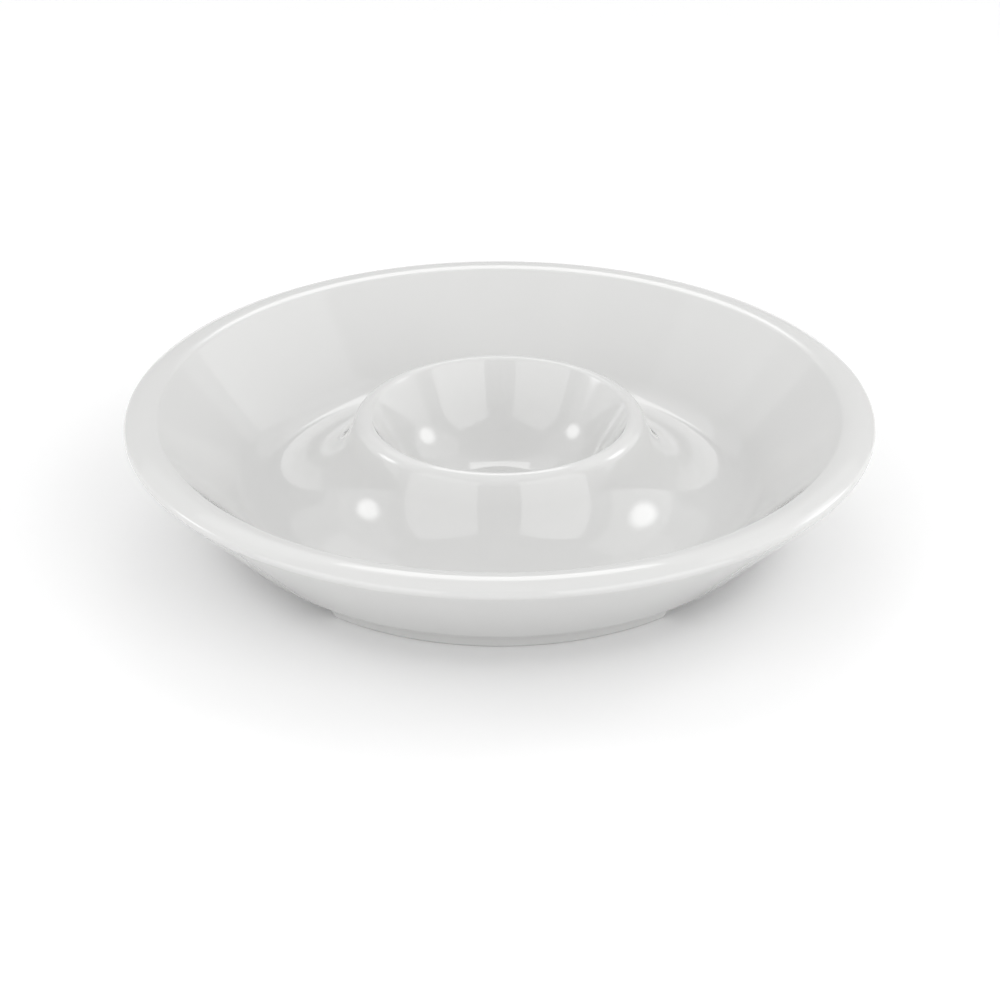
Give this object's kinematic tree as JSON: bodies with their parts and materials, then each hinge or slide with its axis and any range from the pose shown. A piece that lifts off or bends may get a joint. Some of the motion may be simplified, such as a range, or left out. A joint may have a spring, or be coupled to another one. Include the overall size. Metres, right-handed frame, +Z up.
{
  "type": "egg cup",
  "caption": "Low egg cup with its own flared saucer: a round bowl on a bell-shaped pedestal in a round well, standing on an interrupted foot ring.",
  "frame": {"origin": "centre of the foot's resting face, on the table", "axes": "+Z up along the axis of the bowl and the saucer; -Y towards the picture's camera, through the middle of one foot arc"},
  "size_m": [0.13, 0.13, 0.023],
  "materials": {
    "moulding": "glossy white moulded melamine"
  },
  "bodies": {
    "root": {"saucer": "moulding", "pedestal": "moulding", "bowl": "moulding", "foot_front": "moulding", "foot_right": "moulding", "foot_left": "moulding"}
  },
  "joints": []
}
